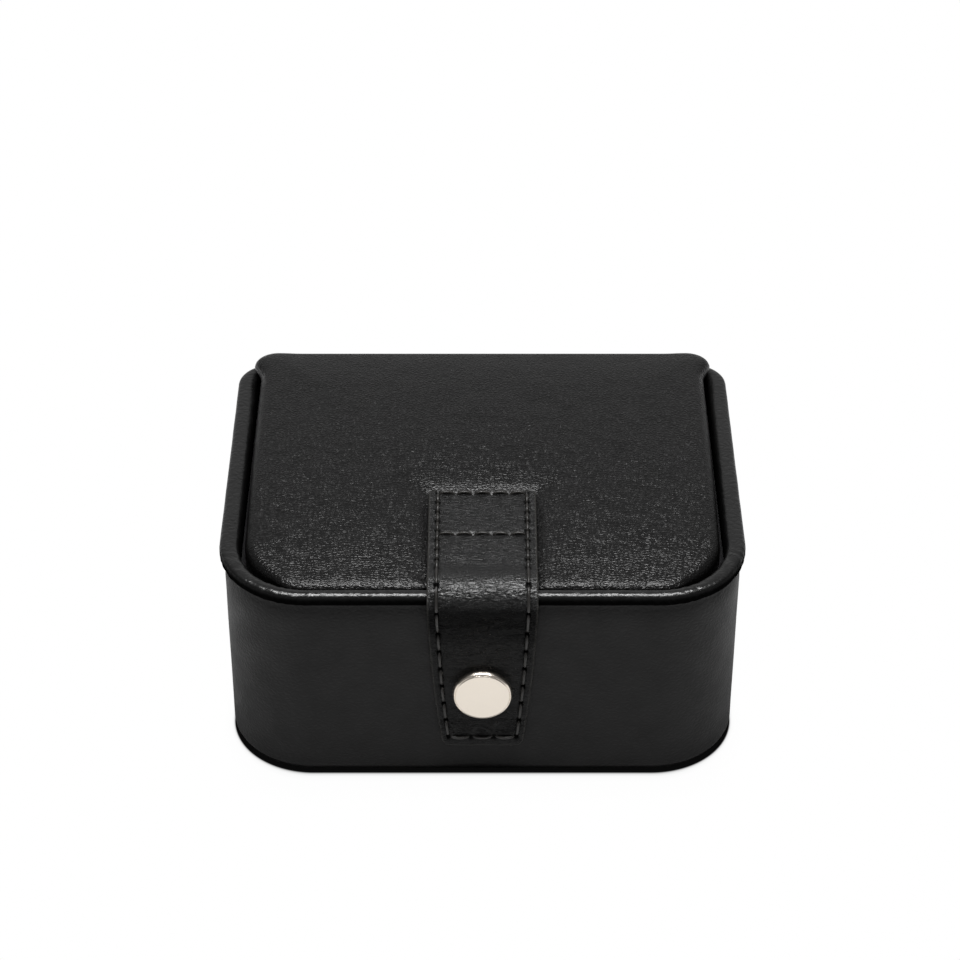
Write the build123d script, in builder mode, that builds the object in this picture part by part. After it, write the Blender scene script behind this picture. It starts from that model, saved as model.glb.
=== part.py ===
from build123d import *
from math import hypot, sqrt
import os

# Cufflink box: a leather-covered case with a rolled rim, a padded lid that lies inside the rim and
# is hinged at the back in its own leather, and a strap that bends over the rim to a magnetic cap.
# Origin at the middle of the underside, +Z up, the front towards -Y, sizes in millimetres.

# Case
width = 96.0
depth = 74.0
rim_height = 43.5
front_corner = 16.0
rear_corner = 6.0
least_corner = 0.5
leather = 0.8
wall_thickness = 1.8
base_cover_thickness = 0.8
base_cover_inset = 1.0
base_cover_chamfer = 0.2
turn_under = 4.0
bottom_roll = 1.2
base_thickness = 2.5

# Rolled rim
bead_radius = 1.4
bead_overhang = 0.8
bead_seat = 1.1
cord_radius = 0.7
bead_end_run = 0.05
facing_thickness = 0.4

# Inner frame, lining and floor
ledge_drop = 5.0
frame_thickness = 2.0
suede = 0.5
floor_foam = 2.0

# Dividers
divider_thickness = 2.4
divider_headroom = 5.4
divider_edge = 0.8
halving_gap = 0.1
divider_end_gap = 0.1

# Lid
lid_gap = 0.4
lid_over_bead = 0.3
lid_front_drop = 0.2
lid_rear_rise = 3.7
lid_crown = 1.0
lid_board_thickness = 2.0
lid_edge_round = 2.2
lid_rear_corner = 3.0
lid_lining_inset = 0.3
lid_pad_thickness = 1.5
lid_pad_gap = 1.0
tongue_gap = 0.4

# Leather hinge
hinge_half_height = 1.5
hinge_gap = 0.3
seam_gap = 0.1

# Strap and tab
strap_width = 20.2
strap_start = 8.9
strap_layer = 0.9
strap_inner_layer = 0.8
strap_over_bead = 0.25
strap_corner = 1.0
strap_leaves_crown = 30.0
tab_tip_width = 14.9
tab_middle_width = 17.9
tab_drop = 35.1
tab_seated_drop = 8.0
tab_gap = 0.15
tab_corner = 1.5

# Cap, magnet and keeper
cap_radius = 5.55
cap_thickness = 1.4
cap_edge = 0.9
cap_drop = 21.9
shank_radius = 1.5
magnet_radius = 5.0
keeper_radius = 5.5
keeper_edge = 0.15
washer_radius = 4.0
washer_thickness = 0.4
metal_gap = 0.1

# Planes and heights worked out from the sizes above
front_plane = -depth / 2
back_plane = depth / 2
wall_bottom = base_cover_thickness
board_bottom = wall_bottom + leather
bead_height = rim_height - bead_radius
wall_top = bead_height - bead_seat
bead_inset = bead_radius - bead_overhang
board_inset = leather
inner_inset = leather + wall_thickness
facing_inset = inner_inset + facing_thickness
lid_inset = facing_inset + lid_gap
frame_inset = inner_inset + frame_thickness
room_inset = frame_inset + suede
ledge_height = rim_height - ledge_drop
base_top = board_bottom + base_thickness
floor_top = base_top + floor_foam + suede
back_board_top = ledge_height - hinge_gap
rear_flat = width / 2 - rear_corner
lid_bottom = ledge_height + suede
lid_high = rim_height + lid_over_bead
lid_front_height = rim_height - lid_front_drop
lid_rear_height = rim_height + lid_rear_rise
above_lid = lid_rear_height + lid_crown + lid_edge_round
cap_height = rim_height - cap_drop
tab_end_height = rim_height - tab_drop
tab_seated_height = rim_height - tab_seated_drop


def plan(inset):
    """Plan of the box drawn in by inset: wide front corners and tight rear ones."""
    half = width / 2 - inset
    end = depth / 2 - inset
    front_radius = max(front_corner - inset, least_corner)
    rear_radius = max(rear_corner - inset, least_corner)
    with BuildSketch() as outline:
        with BuildLine():
            FilletPolyline(
                (-half, -end), (half, -end), (half, end), (-half, end),
                radius=(front_radius, front_radius, rear_radius, rear_radius), close=True,
            )
        make_face()
    return outline.sketch


def ring(from_inset, to_inset):
    """The plan's outline as a band between two insets."""
    with BuildSketch() as band:
        add(plan(from_inset))
        add(plan(to_inset), mode=Mode.SUBTRACT)
    return band.sketch


def rear_window(half_width, inner_y):
    """The stretch of plan at the back between the ends of the wall."""
    with BuildSketch() as window:
        with Locations((0, (inner_y + back_plane + leather) / 2)):
            Rectangle(2 * half_width, back_plane + leather - inner_y)
    return window.sketch


# The case's own plans
rear_inner = back_plane - inner_inset
wall_end = rear_window(rear_flat, rear_inner - wall_thickness)
back_width = rear_window(rear_flat - seam_gap, rear_inner - wall_thickness)

# Bottom board, inside the walls and on their turned-under leather
with BuildPart() as base_board:
    with BuildSketch(Plane.XY.offset(board_bottom)):
        add(plan(inner_inset))
    extrude(amount=base_thickness)
base_board.part.label = "base_board"

# Leather sheet under the case, drawn in from its edge, which it stands on
with BuildPart() as base_cover:
    with BuildSketch():
        add(plan(base_cover_inset))
    extrude(amount=base_cover_thickness)
    chamfer(base_cover.edges().group_by(Axis.Z)[0], base_cover_chamfer)
base_cover.part.label = "base_cover"

# Bent board of the front, the sides and the rear corners, under the bead, with the keeper's hole
with BuildPart() as wall_board:
    with BuildSketch(Plane.XY.offset(board_bottom)):
        add(ring(board_inset, inner_inset))
        add(wall_end, mode=Mode.SUBTRACT)
    extrude(amount=wall_top - board_bottom)
    with Locations(Plane((0, front_plane + inner_inset, cap_height), z_dir=(0, 1, 0))):
        Hole(shank_radius + metal_gap, depth=inner_inset)
wall_board.part.label = "wall_board"

# Lower board between the ends of the bent one
with BuildPart() as back_board:
    with BuildSketch(Plane.XY.offset(board_bottom)):
        add(ring(board_inset, inner_inset))
        add(back_width, mode=Mode.INTERSECT)
    extrude(amount=back_board_top - board_bottom)
back_board.part.label = "back_board"

# Leather of the whole outside as one skin, turned under at the bottom with a soft edge.
# The back panel and the walls are cut from it.
with BuildPart() as outside_skin:
    with BuildSketch(Plane.XY.offset(wall_bottom)):
        add(plan(0))
    extrude(amount=wall_top - wall_bottom)
    fillet(outside_skin.edges().group_by(Axis.Z)[0], bottom_roll)
    with BuildSketch(Plane.XY.offset(board_bottom)):
        add(plan(board_inset))
    extrude(amount=wall_top, mode=Mode.SUBTRACT)
    with BuildSketch(Plane.XY.offset(wall_bottom)):
        add(plan(board_inset + turn_under))
    extrude(amount=leather, mode=Mode.SUBTRACT)

with BuildPart() as wall_leather:
    add(outside_skin.part)
    with BuildSketch():
        add(wall_end)
    extrude(amount=rim_height, mode=Mode.SUBTRACT)
    with Locations(Plane((0, front_plane, cap_height), z_dir=(0, -1, 0))):
        Hole(keeper_radius + metal_gap, depth=leather)
wall_leather.part.label = "wall_leather"

# Back panel, the lower part of the lid's own leather, up to the hinge strip
with BuildPart() as back_leather:
    add(outside_skin.part)
    with BuildSketch():
        add(back_width)
    extrude(amount=ledge_height - hinge_half_height, mode=Mode.INTERSECT)
back_leather.part.label = "back_leather"

# Strip of leather that bends at the hinge line
with BuildPart() as hinge_leather:
    with BuildSketch(Plane.XY.offset(ledge_height - hinge_half_height)):
        with Locations((0, back_plane - leather / 2)):
            Rectangle(2 * (rear_flat - tongue_gap), leather)
    extrude(amount=2 * hinge_half_height)
hinge_leather.part.label = "hinge_leather"

# Path of the bead's centre: up one side, round the front and back along the other, with both
# rear corners turned, where it runs in under the lid's leather
bead_half = width / 2 - bead_inset
bead_front = depth / 2 - bead_inset
bead_front_radius = front_corner - bead_inset
bead_rear_radius = rear_corner - bead_inset
with BuildLine(Plane.XY.offset(bead_height)) as bead_path:
    FilletPolyline(
        (-rear_flat, bead_front), (-bead_half, bead_front), (-bead_half, -bead_front),
        (bead_half, -bead_front), (bead_half, bead_front), (rear_flat, bead_front),
        radius=(bead_rear_radius - bead_end_run, bead_front_radius, bead_front_radius,
                bead_rear_radius - bead_end_run),
    )
bead_start = Plane(bead_path.line @ 0, z_dir=bead_path.line % 0)

with BuildPart() as rim_cord:
    with BuildSketch(bead_start):
        Circle(cord_radius)
    sweep(path=bead_path.line)
rim_cord.part.label = "rim_cord"

# Leather rolled round the cord, flattened where it is glued down on the wall's top edge
with BuildPart() as rim_leather:
    with BuildSketch(bead_start):
        Circle(bead_radius)
        Circle(cord_radius, mode=Mode.SUBTRACT)
    sweep(path=bead_path.line)
    with BuildSketch(Plane.XY.offset(wall_top)):
        Rectangle(2 * width, 2 * depth)
    extrude(amount=-bead_radius, mode=Mode.SUBTRACT)
rim_leather.part.label = "rim_leather"

# Leather turned in behind the bead, over the board's top edge and down inside to the ledge
facing_start = bead_inset + sqrt(bead_radius**2 - (bead_seat - facing_thickness) ** 2) + seam_gap
with BuildPart() as rim_facing:
    with BuildSketch(Plane.XY.offset(ledge_height)):
        add(ring(inner_inset, facing_inset))
        add(wall_end, mode=Mode.SUBTRACT)
    extrude(amount=wall_top - ledge_height)
    with BuildSketch(Plane.XY.offset(wall_top)):
        add(ring(facing_start, facing_inset))
        add(wall_end, mode=Mode.SUBTRACT)
    extrude(amount=facing_thickness)
rim_facing.part.label = "rim_facing"

# Inner board standing on the bottom board, with a shallow recess for the keeper's washer
frame_top = ledge_height - suede
with BuildPart() as inner_frame:
    with BuildSketch(Plane.XY.offset(base_top)):
        add(ring(inner_inset, frame_inset))
    extrude(amount=frame_top - base_top)
    with Locations(Plane((0, front_plane + inner_inset, cap_height), z_dir=(0, -1, 0))):
        Hole(washer_radius + metal_gap, depth=washer_thickness + metal_gap)
inner_frame.part.label = "inner_frame"

# Suede down the inside of that board and over its top edge, the ledge the lid rests on
with BuildPart() as frame_lining:
    with BuildSketch(Plane.XY.offset(base_top)):
        add(ring(frame_inset, room_inset))
    extrude(amount=ledge_height - base_top)
    with BuildSketch(Plane.XY.offset(frame_top)):
        add(ring(inner_inset, room_inset))
    extrude(amount=suede)
frame_lining.part.label = "frame_lining"

# Foam on the bottom board and the suede over it
with BuildPart() as floor_pad:
    with BuildSketch(Plane.XY.offset(base_top)):
        add(plan(room_inset))
    extrude(amount=floor_foam)
floor_pad.part.label = "floor_pad"

with BuildPart() as floor_lining:
    with BuildSketch(Plane.XY.offset(base_top + floor_foam)):
        add(plan(room_inset))
    extrude(amount=suede)
floor_lining.part.label = "floor_lining"

# Dividers: one long and two across, halved into each other, making six places
room_width = width - 2 * room_inset
room_depth = depth - 2 * room_inset
place_width = (room_width - 2 * divider_thickness) / 3
cross_x = (place_width + divider_thickness) / 2
divider_height = ledge_height - lid_pad_thickness - divider_headroom - floor_top
divider_middle = floor_top + divider_height / 2
slot_width = divider_thickness + 2 * halving_gap

with BuildPart() as long_divider:
    with BuildSketch(Plane.XY.offset(floor_top)):
        Rectangle(room_width - 2 * divider_end_gap, divider_thickness)
    extrude(amount=divider_height)
    fillet(long_divider.edges().filter_by(Axis.X).group_by(Axis.Z)[-1], divider_edge)
    with BuildSketch(Plane.XY.offset(divider_middle - halving_gap)):
        with Locations((-cross_x, 0), (cross_x, 0)):
            Rectangle(slot_width, divider_thickness)
    extrude(amount=divider_height, mode=Mode.SUBTRACT)
long_divider.part.label = "long_divider"


def cross_divider(centre_x):
    """A divider across the box, slotted from below over the long one."""
    with BuildPart() as divider:
        with BuildSketch(Plane.XY.offset(floor_top)):
            with Locations((centre_x, 0)):
                Rectangle(divider_thickness, room_depth - 2 * divider_end_gap)
        extrude(amount=divider_height)
        fillet(divider.edges().filter_by(Axis.Y).group_by(Axis.Z)[-1], divider_edge)
        with BuildSketch(Plane.XY.offset(floor_top)):
            with Locations((centre_x, 0)):
                Rectangle(divider_thickness, slot_width)
        extrude(amount=divider_height / 2 + halving_gap, mode=Mode.SUBTRACT)
    return divider.part


cross_divider_left = cross_divider(-cross_x)
cross_divider_left.label = "cross_divider_left"
cross_divider_right = cross_divider(cross_x)
cross_divider_right.label = "cross_divider_right"

# Steel disc let into the front wall's leather, with the shank that goes through the board
with BuildPart() as keeper_disc:
    with BuildSketch(Plane((0, front_plane + leather, cap_height), z_dir=(0, -1, 0))):
        Circle(keeper_radius)
    extrude(amount=leather)
    chamfer(keeper_disc.edges().group_by(Axis.Y)[0], keeper_edge)
    with BuildSketch(Plane((0, front_plane + leather, cap_height), z_dir=(0, 1, 0))):
        Circle(shank_radius)
    extrude(amount=wall_thickness)
keeper_disc.part.label = "keeper_disc"

with BuildPart() as keeper_washer:
    with BuildSketch(Plane((0, front_plane + inner_inset, cap_height), z_dir=(0, 1, 0))):
        Circle(washer_radius)
    extrude(amount=washer_thickness)
keeper_washer.part.label = "keeper_washer"

# The lid's top is a wide arc seen from the side, low at the front and high at the hinge.
# Its circle goes through the front and rear heights with the crown as its rise.
lid_front = front_plane + lid_inset
crown_rise = lid_rear_height - lid_front_height
crown_run = back_plane - lid_front
crown_chord = sqrt(crown_run**2 + crown_rise**2)
crown_radius = crown_chord**2 / (8 * lid_crown) + lid_crown / 2
crown_drop = crown_radius - lid_crown
crown_centre_y = (lid_front + back_plane) / 2 + crown_drop * crown_rise / crown_chord
crown_centre_z = (lid_front_height + lid_rear_height) / 2 - crown_drop * crown_run / crown_chord

# The lid's rear corners are notched round the hinge line, so that they swing clear of the bead's
# ends. The bead reaches farthest from that line at the lid's sides.
lid_half = width / 2 - lid_inset
bead_turn_y = depth / 2 - rear_corner + sqrt(bead_rear_radius**2 - (lid_half - rear_flat) ** 2)
bead_reach = bead_radius + hypot(back_plane - bead_turn_y, bead_height - ledge_height)
notch_radius = bead_reach + lid_gap


def notches(shrink):
    """The two notches at the hinge line, each from the tongue's side outwards."""
    tongue = rear_flat - tongue_gap - shrink
    with BuildPart() as pair:
        with Locations(
            Plane((tongue, back_plane, ledge_height), z_dir=(1, 0, 0)),
            Plane((-tongue, back_plane, ledge_height), z_dir=(-1, 0, 0)),
        ):
            Cylinder(
                notch_radius + shrink, width, align=(Align.CENTER, Align.CENTER, Align.MIN),
            )
    return pair.part


def crown_height(y, lift=0.0):
    """Height of the lid's top at y, raised by lift square to its surface."""
    return crown_centre_z + sqrt((crown_radius + lift) ** 2 - (y - crown_centre_y) ** 2)


def lid_form(shrink):
    """The padded lid drawn in by shrink all round, from its bottom to its crowned top."""
    half = lid_half - shrink
    low_rear = back_plane - shrink
    corner = lid_rear_corner - shrink
    tongue = rear_flat - tongue_gap - shrink
    with BuildPart() as form:
        with BuildSketch(Plane.XY.offset(lid_bottom)):
            add(plan(lid_inset + shrink))
            with Locations((0, low_rear / 2)):
                Rectangle(2 * tongue, low_rear)
        extrude(amount=lid_high - lid_bottom + shrink)
        with BuildSketch(Plane.XY.offset(lid_high + shrink)):
            with BuildLine():
                FilletPolyline(
                    (-half, lid_front + shrink), (half, lid_front + shrink),
                    (half, low_rear), (-half, low_rear),
                    radius=(front_corner - lid_inset - shrink, front_corner - lid_inset - shrink,
                            corner, corner), close=True,
                )
            make_face()
        extrude(amount=above_lid - lid_high)
        with BuildSketch(Plane.YZ):
            with BuildLine():
                crown = ThreePointArc(
                    (front_plane, crown_height(front_plane, -shrink)),
                    (0, crown_height(0, -shrink)),
                    (back_plane + leather, crown_height(back_plane + leather, -shrink)),
                )
                Polyline(
                    crown @ 1, (back_plane + leather, lid_bottom), (front_plane, lid_bottom),
                    crown @ 0,
                )
            make_face()
        extrude(amount=width, both=True, mode=Mode.INTERSECT)
        top = form.faces().filter_by(GeomType.CYLINDER).sort_by(SortBy.AREA)[-1]
        fillet(top.edges(), lid_edge_round - shrink)
        add(notches(shrink), mode=Mode.SUBTRACT)
    return form.part


lid_outer = lid_form(0)
lid_core = lid_form(leather)

# Leather drawn over the foam and the board, cut back above the hinge strip
with BuildPart() as lid_leather:
    add(lid_outer)
    add(lid_core, mode=Mode.SUBTRACT)
    with BuildSketch(Plane.XY.offset(lid_bottom)):
        with Locations((0, back_plane - leather / 2)):
            Rectangle(width, leather)
    extrude(amount=ledge_height + hinge_half_height - lid_bottom, mode=Mode.SUBTRACT)
lid_leather.part.label = "lid_leather"

with BuildPart() as lid_board:
    add(lid_core)
    with BuildSketch(Plane.XY.offset(lid_bottom)):
        Rectangle(width, 2 * depth)
    extrude(amount=lid_board_thickness, mode=Mode.INTERSECT)
lid_board.part.label = "lid_board"

with BuildPart() as lid_foam:
    add(lid_core)
    with BuildSketch(Plane.XY.offset(lid_bottom)):
        Rectangle(width, 2 * depth)
    extrude(amount=lid_board_thickness, mode=Mode.SUBTRACT)
lid_foam.part.label = "lid_foam"

# Suede sheet under the lid, which rests on the ledge
with BuildPart() as lid_lining:
    with BuildSketch(Plane.XY.offset(ledge_height)):
        add(plan(lid_inset + lid_lining_inset))
    extrude(amount=suede)
    add(notches(lid_lining_inset), mode=Mode.SUBTRACT)
lid_lining.part.label = "lid_lining"

# Padded suede panel that drops inside the ledge
with BuildPart() as lid_pad:
    with BuildSketch(Plane.XY.offset(ledge_height)):
        add(plan(room_inset + lid_pad_gap))
    extrude(amount=-lid_pad_thickness)
    fillet(lid_pad.edges().group_by(Axis.Z)[0], lid_pad_thickness / 2)
lid_pad.part.label = "lid_pad"

# The strap's two layers seen from the side. The upper one lies along the lid's crown and rises
# over the bead, where the lower one joins it. Both clear the bead.
strap_top_y = front_plane + bead_inset
fold_inner = bead_radius + strap_over_bead
fold_outer = fold_inner + strap_inner_layer + strap_layer
middle = strap_layer / 2
leave_y = -strap_leaves_crown
rear_y = -strap_start
crown_slope = (leave_y - crown_centre_y) / crown_radius

with BuildLine() as strap_line:
    on_crown = ThreePointArc(
        (rear_y, crown_height(rear_y, middle)),
        ((leave_y + rear_y) / 2, crown_height((leave_y + rear_y) / 2, middle)),
        (leave_y, crown_height(leave_y, middle)),
    )
    Spline(
        on_crown @ 1, (strap_top_y, bead_height + fold_outer - middle),
        tangents=((-1, crown_slope), (-1, 0)),
    )


def side_band(path, lower):
    """Side view of the strap's upper layer along a path of (y, z), or of the layer inside it."""
    with BuildSketch(Plane.YZ) as upper:
        trace(path.line, strap_layer)
    if not lower:
        return upper.sketch.faces()
    with BuildSketch(Plane.YZ) as both:
        trace(path.line, strap_layer + 2 * strap_inner_layer)
        trace(path.line, strap_layer, mode=Mode.SUBTRACT)
    return both.sketch.faces().sort_by(Axis((0, 0, 0), (0, 1, -1)))[-1]


with BuildPart() as strap_leather:
    extrude(side_band(strap_line, lower=False), amount=strap_width / 2, dir=(1, 0, 0), both=True)
    strap_end = strap_leather.faces().sort_by(Axis.Y)[-1]
    fillet(strap_end.edges().filter_by(Axis.X, reverse=True), strap_corner)
strap_leather.part.label = "strap_leather"

with BuildPart() as strap_lining:
    extrude(side_band(strap_line, lower=True), amount=strap_width / 2, dir=(1, 0, 0), both=True)
    with BuildSketch(Plane.XZ.offset(-lid_front)):
        with Locations((0, bead_height)):
            Rectangle(width, rim_height)
    extrude(amount=-depth, mode=Mode.SUBTRACT)
strap_lining.part.label = "strap_lining"

# The strap's bend, a quarter turn about the bead
with BuildPart() as strap_fold:
    with BuildSketch(Plane.YZ):
        with Locations((strap_top_y, bead_height)):
            Circle(fold_outer)
            Circle(fold_inner, mode=Mode.SUBTRACT)
        with Locations((strap_top_y - fold_outer, bead_height + fold_outer)):
            Rectangle(2 * fold_outer, 2 * fold_outer, mode=Mode.INTERSECT)
    extrude(amount=strap_width / 2, both=True)
strap_fold.part.label = "strap_fold"

# Tab: down from the bend, in to the wall, then flat to its tip
tab_top_y = strap_top_y - fold_outer + middle
tab_back_y = front_plane - tab_gap
tab_middle_y = tab_back_y - strap_inner_layer - middle
tab_front_y = tab_middle_y - middle
with BuildLine() as tab_line:
    to_wall = Spline(
        (tab_top_y, bead_height), (tab_middle_y, tab_seated_height),
        tangents=((0, -1), (0, -1)),
    )
    Line(to_wall @ 1, (tab_middle_y, tab_end_height))


def tab_outline():
    """Front view of the tab, narrowing in a slight curve to its rounded tip."""
    with BuildSketch(Plane.XZ) as outline:
        with BuildLine():
            side = ThreePointArc(
                (strap_width / 2, bead_height), (tab_middle_width / 2, cap_height),
                (tab_tip_width / 2, tab_end_height),
            )
            Line(side @ 0, (0, bead_height))
            Line(side @ 1, (0, tab_end_height))
            mirror(about=Plane.YZ)
        make_face()
        fillet(outline.vertices().group_by(Axis.Z)[0].sort_by(Axis.X)[::2], tab_corner)
    return outline.sketch


tab_face = tab_outline()

with BuildPart() as tab_leather:
    extrude(side_band(tab_line, lower=False), amount=strap_width, dir=(1, 0, 0), both=True)
    extrude(tab_face, amount=depth, dir=(0, -1, 0), mode=Mode.INTERSECT)
    with Locations(Plane((0, tab_front_y, cap_height), z_dir=(0, -1, 0))):
        Hole(shank_radius + metal_gap, depth=strap_layer)
tab_leather.part.label = "tab_leather"

with BuildPart() as tab_lining:
    extrude(side_band(tab_line, lower=True), amount=strap_width, dir=(1, 0, 0), both=True)
    extrude(tab_face, amount=depth, dir=(0, -1, 0), mode=Mode.INTERSECT)
    with Locations(Plane((0, tab_back_y, cap_height), z_dir=(0, 1, 0))):
        Hole(magnet_radius + metal_gap, depth=strap_inner_layer)
tab_lining.part.label = "tab_lining"

# Magnet in the lining, level with the tab's back
with BuildPart() as tab_magnet:
    with BuildSketch(Plane((0, tab_back_y, cap_height), z_dir=(0, -1, 0))):
        Circle(magnet_radius)
    extrude(amount=strap_inner_layer)
tab_magnet.part.label = "tab_magnet"

# Flat round cap with its shank through the leather to the magnet
with BuildPart() as cap:
    with BuildSketch(Plane((0, tab_front_y, cap_height), z_dir=(0, -1, 0))):
        Circle(cap_radius)
    extrude(amount=cap_thickness)
    fillet(cap.edges().group_by(Axis.Y)[0], cap_edge)
    with BuildSketch(Plane((0, tab_front_y, cap_height), z_dir=(0, 1, 0))):
        Circle(shank_radius)
    extrude(amount=strap_layer)
cap.part.label = "cap"

os.makedirs("parts", exist_ok=True)
case_pieces = [
    base_board.part, base_cover.part, wall_board.part, back_board.part, wall_leather.part,
    back_leather.part, hinge_leather.part, rim_cord.part, rim_leather.part, rim_facing.part,
    inner_frame.part, frame_lining.part, floor_pad.part, floor_lining.part, long_divider.part,
    cross_divider_left, cross_divider_right, keeper_disc.part, keeper_washer.part,
]
lid_pieces = [
    lid_board.part, lid_foam.part, lid_leather.part, lid_lining.part, lid_pad.part,
    strap_leather.part, strap_lining.part, strap_fold.part,
]
tab_pieces = [tab_leather.part, tab_lining.part, tab_magnet.part, cap.part]
for piece in case_pieces + lid_pieces + tab_pieces:
    export_step(piece, f"parts/{piece.label}.step")
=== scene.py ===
from math import cos, exp, hypot, pi, radians, sin, sqrt

import bmesh
import bpy
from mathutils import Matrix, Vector, noise


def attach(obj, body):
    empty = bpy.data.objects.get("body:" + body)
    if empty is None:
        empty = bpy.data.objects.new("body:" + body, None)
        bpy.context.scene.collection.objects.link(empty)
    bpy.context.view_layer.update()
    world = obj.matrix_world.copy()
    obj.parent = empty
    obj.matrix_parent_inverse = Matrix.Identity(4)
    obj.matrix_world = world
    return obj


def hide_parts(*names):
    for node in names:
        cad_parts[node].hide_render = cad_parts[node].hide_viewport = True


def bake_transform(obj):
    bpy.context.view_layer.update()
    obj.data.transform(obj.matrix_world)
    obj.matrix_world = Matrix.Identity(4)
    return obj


# Looks of the cufflink box: black grained calf over board, a padded lid let in behind a corded rim,
# a saddle-stitched strap with a satin metal cap, and a suede lining. Sizes in this script are in
# millimetres and become metres where a mesh is made.

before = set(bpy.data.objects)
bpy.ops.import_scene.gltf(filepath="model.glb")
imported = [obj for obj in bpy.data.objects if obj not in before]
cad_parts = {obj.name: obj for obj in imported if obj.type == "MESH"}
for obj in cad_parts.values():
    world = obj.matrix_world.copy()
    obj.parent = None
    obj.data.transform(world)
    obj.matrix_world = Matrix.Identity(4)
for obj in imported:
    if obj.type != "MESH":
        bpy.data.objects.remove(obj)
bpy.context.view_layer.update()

MM = 0.001

# Case
HALF_WIDTH = 48.0
HALF_DEPTH = 37.0
FRONT_CORNER = 16.0
REAR_CORNER = 6.0
REAR_FLAT = HALF_WIDTH - REAR_CORNER
RIM_HEIGHT = 43.5
LEATHER = 0.8
WALL = 2.6
WALL_TOP = 41.0
WALL_FOOT = 0.8
TURN_UNDER = 4.0
BOTTOM_ROLL = 1.6

# Rolled rim
BEAD_RADIUS = 1.4
BEAD_IN = 0.6
BEAD_HEIGHT = RIM_HEIGHT - BEAD_RADIUS

# Lid
LID_HALF = 44.1
LID_FRONT = -33.6
LID_CORNER = 12.6
LID_REAR_CORNER = 3.0
LID_BOTTOM = 39.0
LEDGE = 38.5
TONGUE = 41.6
NOTCH = 5.62

# Strap and tab
STRAP_HALF = 10.1
STRAP_START = -8.9
STRAP_LAYER = 0.9
STRAP_INNER = 0.8
TAB_TIP_HALF = 7.45
TAB_MIDDLE_HALF = 8.95
TAB_END = 8.4
TAB_SEATED = 35.5
FOLD_Y = -34.75
FOLD_HEIGHT = 40.8
FOLD_RADIUS = 4.55
TAB_MIDDLE_Y = -38.4
CAP_HEIGHT = 21.6
CAP_RADIUS = 5.55
CAP_THICKNESS = 1.4
KEEPER_RADIUS = 5.6
# Radius of the shallow pocket round the magnet, on the tab's inner side
MAGNET_POCKET = 6.0


# Small tools for meshes

def placed(name, data):
    """Adds an object that holds the data."""
    item = bpy.data.objects.new(name, data)
    bpy.context.collection.objects.link(item)
    return item


def grid_faces(rows, columns, wrap=False, start=0):
    """Quads over points laid out row after row, closed along each row if wrap."""
    faces = []
    last = columns if wrap else columns - 1
    for r in range(rows - 1):
        for c in range(last):
            a = start + r * columns + c
            b = start + r * columns + (c + 1) % columns
            faces.append((a, b, b + columns, a + columns))
    return faces


def row_face(columns, row):
    """One face over all the points of a row."""
    return tuple(row * columns + i for i in range(columns))


def make_piece(name, points, faces, material, places=None):
    """A smooth mesh object from points in millimetres, its faces turned outwards. places are the
    points' own places on the leather, in millimetres, kept as a UV map of 100 to the unit, and may
    have how near each is to a cut edge, from 0 to 1, as a third value."""
    mesh = bpy.data.meshes.new(name)
    mesh.from_pydata([(x * MM, y * MM, z * MM) for x, y, z in points], [], faces)
    shape = bmesh.new()
    shape.from_mesh(mesh)
    if places:
        layer = shape.loops.layers.uv.new("leather")
        edges = shape.loops.layers.uv.new("edge")
        for face in shape.faces:
            for loop in face.loops:
                place = places[loop.vert.index]
                loop[layer].uv = (0.5 + place[0] / 100, place[1] / 100)
                loop[edges].uv = (place[2] if len(place) > 2 else 0.0, 0.0)
    bmesh.ops.remove_doubles(shape, verts=shape.verts, dist=0.005 * MM)
    bmesh.ops.recalc_face_normals(shape, faces=shape.faces)
    for face in shape.faces:
        face.smooth = True
    shape.to_mesh(mesh)
    shape.free()
    mesh.materials.append(material)
    return placed(name, mesh)


def applied(piece):
    """Makes the piece's evaluated shape its own mesh and drops its modifiers."""
    graph = bpy.context.evaluated_depsgraph_get()
    mesh = bpy.data.meshes.new_from_object(piece.evaluated_get(graph))
    piece.modifiers.clear()
    piece.data = mesh
    return piece


def rough(x, y, z, size):
    """Smooth noise from about -1 to 1 whose lumps are size millimetres wide."""
    return noise.noise(Vector((x / size, y / size, z / size)))


def smooth(value, low, high):
    """0 below low, 1 above high, smooth between."""
    t = min(max((value - low) / (high - low), 0.0), 1.0)
    return t * t * (3 - 2 * t)


def steps(first, last, count):
    """count + 1 evenly spaced values from first to last."""
    return [first + (last - first) * k / count for k in range(count + 1)]


def turned(profile, count):
    """Points of (radius, y) pairs turned about the cap's axis."""
    turns = steps(0, 2 * pi, count)[:-1]
    return [(radius * cos(a), y, CAP_HEIGHT + radius * sin(a)) for radius, y in profile for a in turns]


def line_lengths(line):
    """Length of the line up to each of its points, whose first two values are coordinates."""
    lengths = [0.0]
    for a, b in zip(line, line[1:]):
        lengths.append(lengths[-1] + hypot(b[0] - a[0], b[1] - a[1]))
    return lengths


def stations(line, count):
    """count + 1 places evenly spaced along a line, each as its length so far, the index of the
    point before it and the share of the way to the next."""
    lengths = line_lengths(line)
    j = 0
    for k in range(count + 1):
        run = lengths[-1] * k / count
        while j < len(line) - 2 and lengths[j + 1] < run:
            j += 1
        yield run, j, (run - lengths[j]) / max(lengths[j + 1] - lengths[j], 1e-9)


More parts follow.
